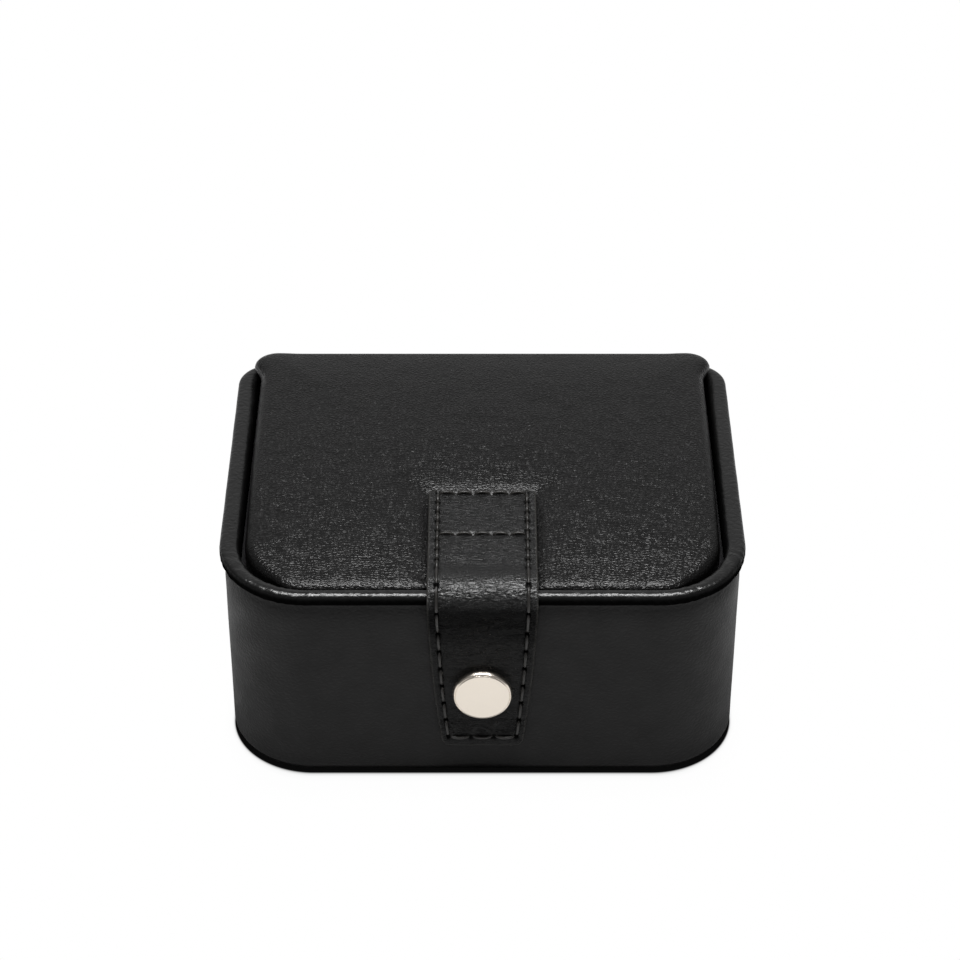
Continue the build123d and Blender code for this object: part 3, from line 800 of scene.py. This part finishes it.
def strap_path():
    """Middle line of the strap's upper layer as (y, z), from its sewn end to its tip."""
    line = []
    for y in steps(STRAP_START, -30.0, 39):
        line.append((y, crown(y) + lid_tilt(y) + 0.4 - sunk(y) + STRAP_LAYER / 2))
    y0, z0 = line[-1]
    slope = (line[-1][1] - line[-2][1]) / (line[-1][0] - line[-2][0])
    y1, z1 = FOLD_Y, FOLD_HEIGHT + FOLD_RADIUS
    reach = y0 - y1
    for t in steps(0, 1, 16)[1:-1]:
        h00, h10 = 2 * t ** 3 - 3 * t ** 2 + 1, t ** 3 - 2 * t ** 2 + t
        h01 = -2 * t ** 3 + 3 * t ** 2
        line.append((y0 - reach * t, h00 * z0 + h10 * (-reach * slope) + h01 * z1))
    for a in steps(0, pi / 2, 18):
        line.append((FOLD_Y - FOLD_RADIUS * sin(a), FOLD_HEIGHT + FOLD_RADIUS * cos(a)))
    ya, za = FOLD_Y - FOLD_RADIUS, FOLD_HEIGHT
    for t in steps(0, 1, 15)[1:]:
        line.append((ya + (TAB_MIDDLE_Y - ya) * smooth(t, 0, 1), za + (TAB_SEATED - za) * t))
    return line + [(TAB_MIDDLE_Y, z) for z in steps(TAB_SEATED, TAB_END, 59)[1:]]


def spaced(line, step):
    """The line as evenly spaced (run, y, z, ty, tz)."""
    result = []
    for run, j, t in stations(line, round(line_lengths(line)[-1] / step)):
        (ay, az), (by, bz) = line[j], line[j + 1]
        size = hypot(by - ay, bz - az)
        result.append((run, ay + (by - ay) * t, az + (bz - az) * t, (by - ay) / size, (bz - az) / size))
    return result


STRAP_LINE = spaced(strap_path(), 0.3)
STRAP_LENGTH = STRAP_LINE[-1][0]


def on_strap(run):
    """Point (y, z) of the strap's line at a run, and the way its face looks there."""
    k = min(max(run / STRAP_LENGTH * (len(STRAP_LINE) - 1), 0), len(STRAP_LINE) - 1.0001)
    i = int(k)
    y, z, ty, tz = [a + (b - a) * (k - i) for a, b in zip(STRAP_LINE[i][1:], STRAP_LINE[i + 1][1:])]
    turn = -1 if tz > 0.5 or ty > 0.5 else 1
    return y, z, turn * tz, -turn * ty


def run_at(test):
    """First run along the strap whose point passes the test."""
    return next(p[0] for p in STRAP_LINE if test(p[1], p[2]))


def strap_half(z, y):
    """Half width: full over the lid and the bend, narrowing in a slight curve down the tab."""
    if z > BEAD_HEIGHT or y > FOLD_Y:
        return STRAP_HALF
    t = (BEAD_HEIGHT - z) / (BEAD_HEIGHT - TAB_END)
    middle_t = (BEAD_HEIGHT - CAP_HEIGHT) / (BEAD_HEIGHT - TAB_END)
    a, m, b = STRAP_HALF, TAB_MIDDLE_HALF, TAB_TIP_HALF
    curve = (m - a - (b - a) * middle_t) / (middle_t * (middle_t - 1))
    return a + (b - a) * t + curve * t * (t - 1)


# Stitch holes, by run along the strap and place across it
LID_SEAM_END = -31.1
TAB_SEAM_TOP = -37.5
CROSS_SEAM_Y = -21.2
TIP_MARGIN = 2.2
START_RUN = 0.9
LID_HOLES_TO = run_at(lambda y, z: y < LID_SEAM_END)
TAB_HOLES_FROM = run_at(lambda y, z: y < TAB_SEAM_TOP and z < TAB_SEATED)
TAB_HOLES_TO = STRAP_LENGTH - TIP_MARGIN
CROSS_RUN = run_at(lambda y, z: y < CROSS_SEAM_Y)
SEAM_IN = 1.75
CROSS_SEAM_HALF = 8.35
HOLE_LONG = 0.5
HOLE_WIDE = 0.36
HOLE_DEPTH = 0.8

side_seams = [
    (START_RUN, LID_HOLES_TO, 8),
    (LID_HOLES_TO, TAB_HOLES_FROM, 3),
    (TAB_HOLES_FROM, TAB_HOLES_TO, 6),
]
hole_runs = sorted({round(run, 4) for side_seam in side_seams for run in steps(*side_seam)})


def seam_half(run):
    """Distance of the side seams from the middle at a run."""
    y, z = on_strap(run)[:2]
    return strap_half(z, y) - SEAM_IN + 0.35 * smooth(run, TAB_HOLES_FROM, STRAP_LENGTH)


cross_seams = [(START_RUN, CROSS_SEAM_HALF, 5), (CROSS_RUN, CROSS_SEAM_HALF, 5),
               (TAB_HOLES_TO, seam_half(TAB_HOLES_TO), 3)]
holes = [(run, side * seam_half(run)) for run in hole_runs for side in (-1, 1)]
holes += [(run, u) for run, half, stitches in cross_seams for u in steps(-half, half, stitches)[1:-1]]
# Middle of the creases under the cap, and the ring that the cap presses in
CREASE_HEIGHT = 15.3
PRESSED_RADIUS = 5.9


def strap_relief(run, u):
    """Height of the strap's face over its plain form: seams, holes, creases, and the ring that
    the cap presses in."""
    seam = abs(abs(u) - seam_half(run))
    value = -0.10 * exp(-(seam / 0.55) ** 2)
    cross = min(abs(run - START_RUN), abs(run - CROSS_RUN))
    if abs(u) < CROSS_SEAM_HALF:
        value -= 0.10 * exp(-(cross / 0.45) ** 2)
        value -= 0.10 * exp(-((run - TAB_HOLES_TO) / 0.5) ** 2)
    for hole_run, hole_u in holes:
        d2 = ((run - hole_run) / HOLE_LONG) ** 2 + ((u - hole_u) / HOLE_WIDE) ** 2
        if d2 < 6:
            value -= HOLE_DEPTH * exp(-d2 ** 2)
    y, z = on_strap(run)[:2]
    if y < -30:
        bend = smooth(run, LID_HOLES_TO, LID_HOLES_TO + 4)
        bend *= 1 - smooth(run, TAB_HOLES_FROM + 1, TAB_HOLES_FROM + 9)
        inner = smooth(seam, 0.3, 1.5)
        lean = 0.35 * u
        value += 0.07 * bend * inner * noise.noise(Vector((u / 6, (run + lean) / 0.9, 3)))
        value += 0.05 * bend * inner * noise.noise(Vector((u / 3, (run - lean) / 1.6, 9)))
    tip = exp(-((z - CREASE_HEIGHT) / 2.2) ** 2) * smooth(STRAP_LENGTH - run, 3, 5) * (y < -HALF_DEPTH)
    value += 0.2 * tip * noise.noise(Vector((u / 9, run / 0.8, 5))) * smooth(seam, 0.2, 1.0)
    if y < -HALF_DEPTH:
        value -= 0.25 * exp(-((hypot(u, z - CAP_HEIGHT) - PRESSED_RADIUS) / 0.4) ** 2)
    return value


def strap_columns(half, seam):
    """Places across the strap, close together at the seams and the edges."""
    inner = steps(0, seam, 14)[:11]
    near = [seam + apart for apart in (-1.0, -0.75, -0.5, -0.3, -0.15, 0, 0.15, 0.3, 0.5, 0.75)]
    edge = [half - 0.45, half - 0.25, half - 0.1]
    right = sorted([u for u in inner if u < seam - 1.15] + near + edge)
    return [-u for u in reversed(right) if u > 0] + right


def corner_cut(distance, radius):
    """How much the half width loses at a distance from an end with rounded corners."""
    if distance >= radius:
        return 0.0
    return radius - sqrt(radius ** 2 - (radius - distance) ** 2)


def rounding(distance, radius):
    """How much an edge rounded to a radius loses in height at a distance in from it."""
    return radius * (1 - sqrt(1 - (1 - min(distance / radius, 1)) ** 2))


def strap_layer(name, first, last, low, high, shrink, relief):
    """One layer of the strap between two runs, from low to high beside its middle line."""
    runs = [p[0] for p in STRAP_LINE if first + 0.2 < p[0] < last - 0.2]
    runs = [first, first + 0.1] + runs + [last - 0.1, last]
    soft = min(0.3, (high - low) / 3)
    points = []
    places = []
    for run in runs:
        y, z, ny, nz = on_strap(run)
        half = strap_half(z, y) - shrink
        half -= corner_cut(run - first, 1.0) if first == 0 else 0
        half -= corner_cut(STRAP_LENGTH - run, 1.5) if last > STRAP_LENGTH - 1 else 0
        end = min(run - first, last - run)
        squash = rounding(end, soft)
        us = strap_columns(half, min(seam_half(run), half - 0.9))
        section = [(u, high - rounding(half - abs(u), soft) - squash
                    + (strap_relief(run, u) if relief else 0)) for u in us]
        section += [(half, high - soft), (half, low + soft)]
        pocket = 0 if relief or y > -HALF_DEPTH else 0.25
        section += [(u, low + squash + (0.12 if half - abs(u) < 0.12 else 0)
                     + pocket * (hypot(u, z - CAP_HEIGHT) < MAGNET_POCKET)) for u in us[::-3]]
        section += [(-half, low + soft), (-half, high - soft)]
        for u, h in section:
            points.append((u, y + ny * h, z + nz * h))
            places.append((u, run, 1 - smooth(min(half - abs(u), end), 0.1, 0.42)))
    around = len(section)
    faces = grid_faces(len(runs), around, wrap=True)
    faces += [row_face(around, 0), row_face(around, len(runs) - 1)]
    return make_piece(name, points, faces, strap_calf, places)


strap = strap_layer("strap_upper_layer", 0, STRAP_LENGTH, -STRAP_LAYER / 2, STRAP_LAYER / 2, 0, True)
under_from = run_at(lambda y, z: y < LID_FRONT + 1.2)
under = strap_layer("strap_under_layer", under_from, STRAP_LENGTH, -STRAP_LAYER / 2 - STRAP_INNER,
                    -STRAP_LAYER / 2 - 0.02, 0.05, False)
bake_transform(strap)
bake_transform(under)
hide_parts("strap_leather", "strap_fold", "tab_leather")
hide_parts("strap_lining", "tab_lining")


# Cap
TAB_FACE = TAB_MIDDLE_Y - STRAP_LAYER / 2
CAP_AROUND = 96
cap_profile = [
    (0.0, 0.0), (CAP_RADIUS, 0.0), (CAP_RADIUS, 0.45), (5.5, 0.72), (5.41, 0.98), (5.29, 1.18), (5.19, 1.28),
    (5.15, 1.28), (5.11, 1.2), (5.07, 1.2), (5.03, 1.3), (4.95, CAP_THICKNESS), (4.8, CAP_THICKNESS),
    (3.0, CAP_THICKNESS), (0.0, CAP_THICKNESS),
]
cap_piece = make_piece("snap_cap",
                       turned([(radius, TAB_FACE - out) for radius, out in cap_profile], CAP_AROUND),
                       grid_faces(len(cap_profile), CAP_AROUND, wrap=True), cap_metal)
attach(cap_piece, "tab")
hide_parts("cap")


# Saddle stitching

def seam_tree():
    """Stitches of one seam: the line is cut into equal stitches, each an arched thread that dips
    into its two holes."""
    tree = bpy.data.node_groups.new("saddle_stitch", "GeometryNodeTree")
    face = tree.interface
    for name, kind in (("Geometry", "Geometry"), ("Stitches", "Int"), ("Thread Radius", "Float"),
                       ("Dip", "Float"), ("Finish", "Material")):
        face.new_socket(name, in_out="INPUT", socket_type="NodeSocket" + kind)
    face.new_socket("Geometry", in_out="OUTPUT", socket_type="NodeSocketGeometry")
    given = add_node(tree, "NodeGroupInput").outputs
    line = add_node(tree, "GeometryNodeMeshToCurve", {"Mesh": given["Geometry"]})
    doubled = add_node(tree, "ShaderNodeMath", {0: given["Stitches"], 1: 2, 2: 1}, operation="MULTIPLY_ADD")
    even = add_node(tree, "GeometryNodeResampleCurve", {"Curve": line, "Count": doubled})
    order = add_node(tree, "GeometryNodeInputIndex")
    odd = add_node(tree, "ShaderNodeMath", {0: order, 1: 2}, operation="MODULO")
    length = add_node(tree, "GeometryNodeCurveLength", {"Curve": line})
    size = add_node(tree, "ShaderNodeMath", {0: length, 1: given["Stitches"]}, operation="DIVIDE")
    below = add_node(tree, "ShaderNodeMath", {0: given["Dip"], 1: -1.0}, operation="MULTIPLY")
    arch_inputs = {}
    for name, share, high in (("Start", -0.38, below), ("Start Handle", -0.285, given["Dip"]),
                              ("End Handle", 0.285, given["Dip"]), ("End", 0.38, below)):
        reach = add_node(tree, "ShaderNodeMath", {0: size, 1: share}, operation="MULTIPLY")
        arch_inputs[name] = add_node(tree, "ShaderNodeCombineXYZ", {"X": reach, "Z": high})
    arch = add_node(tree, "GeometryNodeCurvePrimitiveBezierSegment", arch_inputs, Resolution=10)
    ring = add_node(tree, "GeometryNodeCurvePrimitiveCircle", {"Radius": given["Thread Radius"]},
                    Resolution=8)
    stitch = add_node(tree, "GeometryNodeCurveToMesh", {"Curve": arch, "Profile Curve": ring}, Fill_Caps=True)
    tangent = add_node(tree, "GeometryNodeInputTangent")
    up = add_node(tree, "GeometryNodeInputNamedAttribute", data_type="FLOAT_VECTOR", Name="up")
    facing_on = add_node(tree, "FunctionNodeAlignRotationToVector", {"Vector": tangent}, axis="X")
    upright = add_node(tree, "FunctionNodeAlignRotationToVector", {"Rotation": facing_on, "Vector": up},
                       axis="Z", pivot_axis="X")
    laid = add_node(tree, "GeometryNodeInstanceOnPoints",
                    {"Points": even, "Selection": odd, "Instance": stitch, "Rotation": upright})
    real = add_node(tree, "GeometryNodeRealizeInstances", {"Geometry": laid})
    shaded = add_node(tree, "GeometryNodeSetShadeSmooth", {"Geometry": real})
    done = add_node(tree, "GeometryNodeSetMaterial", {"Geometry": shaded, "Material": given["Finish"]})
    add_node(tree, "NodeGroupOutput", {0: done})
    return tree


stitch_tree = seam_tree()
stitch_inputs = {item.name: item.identifier for item in stitch_tree.interface.items_tree
                 if item.in_out == "INPUT"}
THREAD_RADIUS = 0.28
# How far a stitch arches over its line and dips under it at its ends
STITCH_DIP = 0.42


def sew(line, stitches):
    """A row of stitches along (run, place across) points of the strap's face."""
    mesh = bpy.data.meshes.new("seam")
    points = []
    ups = []
    for run, u in line:
        y, z, ny, nz = on_strap(run)
        lift = STRAP_LAYER / 2
        points.append((u * MM, (y + ny * lift) * MM, (z + nz * lift) * MM))
        ups.append((0.0, ny, nz))
    mesh.from_pydata(points, [(i, i + 1) for i in range(len(points) - 1)], [])
    up = mesh.attributes.new("up", "FLOAT_VECTOR", "POINT")
    for i, value in enumerate(ups):
        up.data[i].vector = value
    seam = placed("seam", mesh)
    work = seam.modifiers.new("stitches", "NODES")
    work.node_group = stitch_tree
    work[stitch_inputs["Stitches"]] = stitches
    work[stitch_inputs["Thread Radius"]] = THREAD_RADIUS * MM
    work[stitch_inputs["Dip"]] = STITCH_DIP * MM
    work[stitch_inputs["Finish"]] = thread
    return applied(seam)


seams = []
for first, last, stitches in side_seams:
    runs = steps(first, last, 40)
    seams += [sew([(run, side * seam_half(run)) for run in runs], stitches) for side in (-1, 1)]
for run, half, stitches in cross_seams:
    seams.append(sew([(run, u) for u in steps(-half, half, 10)], stitches))

joined = bmesh.new()
for seam in seams:
    joined.from_mesh(seam.data)
    bpy.data.objects.remove(seam)
thread_mesh = bpy.data.meshes.new("strap_thread")
joined.to_mesh(thread_mesh)
joined.free()
thread_mesh.materials.append(thread)
strap_thread = placed("strap_thread", thread_mesh)
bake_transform(strap_thread)


# Floor, light and camera

floor_mesh = bpy.data.meshes.new("floor")
floor_mesh.from_pydata([(-3, -3, 0), (3, -3, 0), (3, 3, 0), (-3, 3, 0)], [], [(0, 1, 2, 3)])
floor_piece = placed("floor", floor_mesh)


def footprint_distance(tree, axes):
    """Distance on the floor from the box's footprint, in metres. axes are the floor's own
    coordinates."""
    front = add_node(tree, "ShaderNodeMath", {0: axes["Y"], 1: 0.0}, operation="LESS_THAN")
    radius = add_node(tree, "ShaderNodeMath",
                      {0: front, 1: (FRONT_CORNER - REAR_CORNER) * MM, 2: REAR_CORNER * MM},
                      operation="MULTIPLY_ADD")
    over = {}
    for axis, half in (("X", HALF_WIDTH), ("Y", HALF_DEPTH)):
        past = axes[axis]
        for operation, value in (("ABSOLUTE", 0.0), ("ADD", radius), ("SUBTRACT", half * MM),
                                 ("MAXIMUM", 0.0)):
            past = add_node(tree, "ShaderNodeMath", {0: past, 1: value}, operation=operation)
        over[axis] = past
    corner = add_node(tree, "ShaderNodeCombineXYZ", over)
    reach = add_node(tree, "ShaderNodeVectorMath", {0: corner}, operation="LENGTH").outputs["Value"]
    return add_node(tree, "ShaderNodeMath", {0: reach, 1: radius}, operation="SUBTRACT")


def distance_ramp(tree, distance, far, stops):
    """A ramp over a distance, from 0 to far metres."""
    share = add_node(tree, "ShaderNodeMapRange", {"Value": distance}, From_Min=0.0, From_Max=far)
    return ramp(tree, share, stops)


# How far the painted shadow round the box reaches on the paper, for other rays and for the camera, in metres
SHADOW_REACH = 0.06
CONTACT_REACH = 0.009
# White paper: for all other rays a soft sheet darkened round the box by a painted shadow in its colour,
# and for the camera a glowing white sheet with a painted contact shadow where the box stands on it, in a band
# that is narrower from the sides to the back
paper, tree, shader = new_material("white_paper", Roughness=0.9)
spot = add_node(tree, "ShaderNodeTexCoord").outputs["Object"]
axes = add_node(tree, "ShaderNodeSeparateXYZ", {"Vector": spot}).outputs
apart = footprint_distance(tree, axes)
# Paper colour darker near the box: painted shadow for the light that bounces off it
painted_shade_tone = distance_ramp(tree, apart, SHADOW_REACH, [(0.0, 0.30), (0.08, 0.45), (0.3, 0.62), (1.0, 0.70)])
tree.links.new(painted_shade_tone, shader.inputs["Base Color"])
tighter = add_node(tree, "ShaderNodeMapRange", {"Value": axes["Y"]}, From_Min=-0.040, From_Max=-0.022,
                   To_Min=1.0, To_Max=3.5)
seen_apart = add_node(tree, "ShaderNodeMath", {0: apart, 1: tighter}, operation="MULTIPLY")
# Painted contact shadow in the paper's glow seen by the camera
shade = distance_ramp(tree, seen_apart, CONTACT_REACH, [
    (0.0, 0.003), (0.003, 0.02), (0.012, 0.15), (0.04, 0.5), (0.08, 0.8), (0.15, 0.95), (0.3, 0.99),
    (1.0, 1.0),
])
glow = add_node(tree, "ShaderNodeEmission", {"Color": shade}, Strength=1.0)
seen = add_node(tree, "ShaderNodeLightPath").outputs["Is Camera Ray"]
mixed = add_node(tree, "ShaderNodeMixShader", {"Fac": seen, 1: shader, 2: glow})
tree.links.new(mixed.outputs[0], tree.nodes["Material Output"].inputs["Surface"])
floor_mesh.materials.append(paper)

# World: white for the camera, and for all other rays darker in front than behind
scene = bpy.context.scene
world = bpy.data.worlds.new("studio")
scene.world = world
world.use_nodes = True
sky = world.node_tree
ambient = sky.nodes["Background"]
way = add_node(sky, "ShaderNodeTexCoord").outputs["Generated"]
back = add_node(sky, "ShaderNodeSeparateXYZ", {"Vector": way}).outputs["Y"]
shift = add_node(sky, "ShaderNodeMapRange", {"Value": back}, From_Min=-1.0, From_Max=1.0, To_Min=0.0,
                 To_Max=1.0)
depth_tone = ramp(sky, shift, [(0.0, 0.19), (0.45, 0.16), (0.70, 0.13), (0.8, 0.21), (0.9, 0.42),
                               (1.0, 0.60)])
sky.links.new(depth_tone, ambient.inputs["Color"])
ambient.inputs["Strength"].default_value = 1.0
white = add_node(sky, "ShaderNodeBackground", Strength=1.0, Color=(1, 1, 1, 1))
camera_ray = add_node(sky, "ShaderNodeLightPath").outputs["Is Camera Ray"]
sky_mix = add_node(sky, "ShaderNodeMixShader", {"Fac": camera_ray, 1: ambient, 2: white})
sky.links.new(sky_mix.outputs[0], sky.nodes["World Output"].inputs["Surface"])


def softbox(name, place, target, size_x, size_y, power):
    """A rectangular lamp at place, in metres, turned to target."""
    lamp = bpy.data.lights.new(name, "AREA")
    lamp.shape = "RECTANGLE"
    lamp.size, lamp.size_y, lamp.energy = size_x, size_y, power
    holder = placed(name, lamp)
    holder.location = place
    way = Vector(target) - Vector(place)
    holder.rotation_euler = way.to_track_quat("-Z", "Y").to_euler()
    return holder


softbox("overhead_softbox", (0.0, -0.085, 0.68), (0, -0.03, 0.04), 0.60, 0.15, 6.4)

scene.view_settings.view_transform = "Standard"
lens = bpy.data.cameras.new("camera")
lens.lens = 105.5
lens.sensor_width = 36.0
camera = placed("camera", lens)
camera.location = (-0.00045, -0.43389, 0.36259)
camera.rotation_euler = (radians(53.52), 0, 0)
scene.camera = camera
